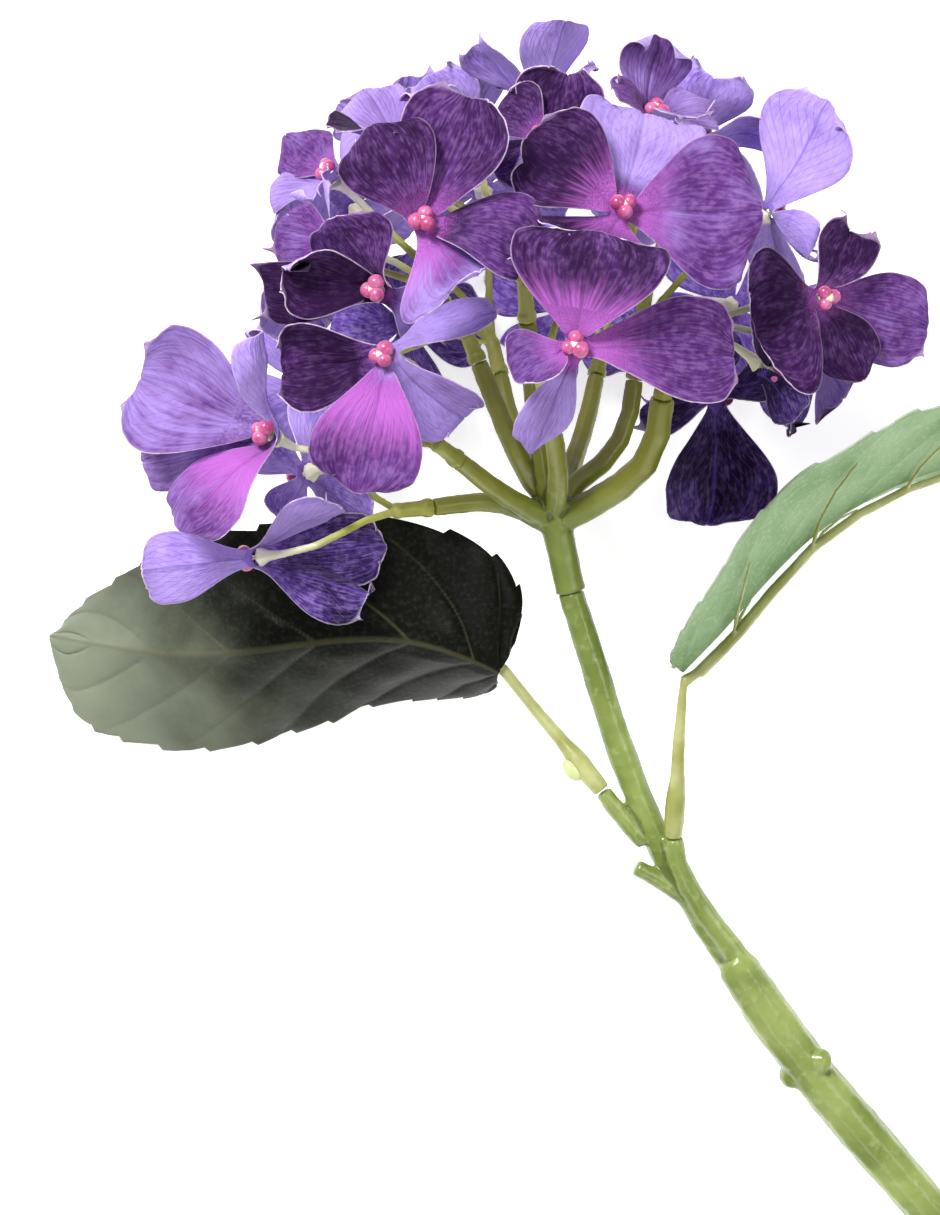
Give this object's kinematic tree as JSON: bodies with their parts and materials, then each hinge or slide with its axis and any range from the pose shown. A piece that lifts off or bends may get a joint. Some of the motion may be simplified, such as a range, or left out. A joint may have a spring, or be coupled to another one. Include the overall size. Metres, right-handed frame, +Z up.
{
  "type": "artificial hydrangea stem",
  "caption": "Artificial hydrangea stem lying on its side: a domed head of fabric florets on moulded sprays, a jointed plastic stem and veined fabric leaves.",
  "frame": {"origin": "middle of the object's footprint, on the surface it lies on", "axes": "+Y from the cut end of the stem towards the top of the flower head, +Z up from the surface, +X towards the side the stem leans to"},
  "size_m": [0.2912, 0.371, 0.1305],
  "materials": {
    "petal_fabric": "dyed woven fabric, mottled purple front with magenta base, lavender reverse",
    "leaf_fabric": "printed and pressed fabric with a soft sheen, pale green reverse",
    "spray_plastic": "moulded plastic, yellow-green fading to cream under the petals",
    "stem_plastic": "moulded soft plastic, satin green with darker hollows",
    "rib_plastic": "moulded plastic, pale yellow-green",
    "bead_plastic": "moulded beads, painted coral pink"
  },
  "bodies": {
    "root": {"floret_front_top": "petal_fabric", "floret_front_left": "petal_fabric", "floret_left_upper": "petal_fabric", "floret_left_crest": "petal_fabric", "floret_crest_left": "petal_fabric", "floret_crest": "petal_fabric", "floret_tip": "petal_fabric", "floret_crest_right": "petal_fabric", "floret_front_right": "petal_fabric", "floret_front_low": "petal_fabric", "floret_right": "petal_fabric", "floret_left_front": "petal_fabric", "floret_left": "petal_fabric", "floret_left_low": "petal_fabric", "floret_left_rim": "petal_fabric", "floret_crown_left": "petal_fabric", "floret_crown": "petal_fabric", "floret_crown_right": "petal_fabric", "floret_right_rim": "petal_fabric", "floret_left_under": "petal_fabric", "floret_right_under": "petal_fabric", "floret_right_small": "petal_fabric", "floret_under_left": "petal_fabric", "floret_under_middle": "petal_fabric", "floret_under_right": "petal_fabric", "floret_under_crest": "petal_fabric", "floret_under_crown": "petal_fabric", "floret_under_rim": "petal_fabric", "floret_under_far": "petal_fabric", "floret_under_near": "petal_fabric", "spray_left_low": "spray_plastic", "spray_left_high": "spray_plastic", "spray_upper_left": "spray_plastic", "spray_top": "spray_plastic", "spray_front": "spray_plastic", "spray_right": "spray_plastic", "spray_right_back": "spray_plastic", "spray_back_left": "spray_plastic", "spray_back_right": "spray_plastic", "umbel": "stem_plastic", "main_stem": "stem_plastic", "leaf_left": "leaf_fabric", "leaf_left_ribs": "rib_plastic", "leaf_right": "leaf_fabric", "leaf_right_ribs": "rib_plastic"}
  },
  "joints": []
}
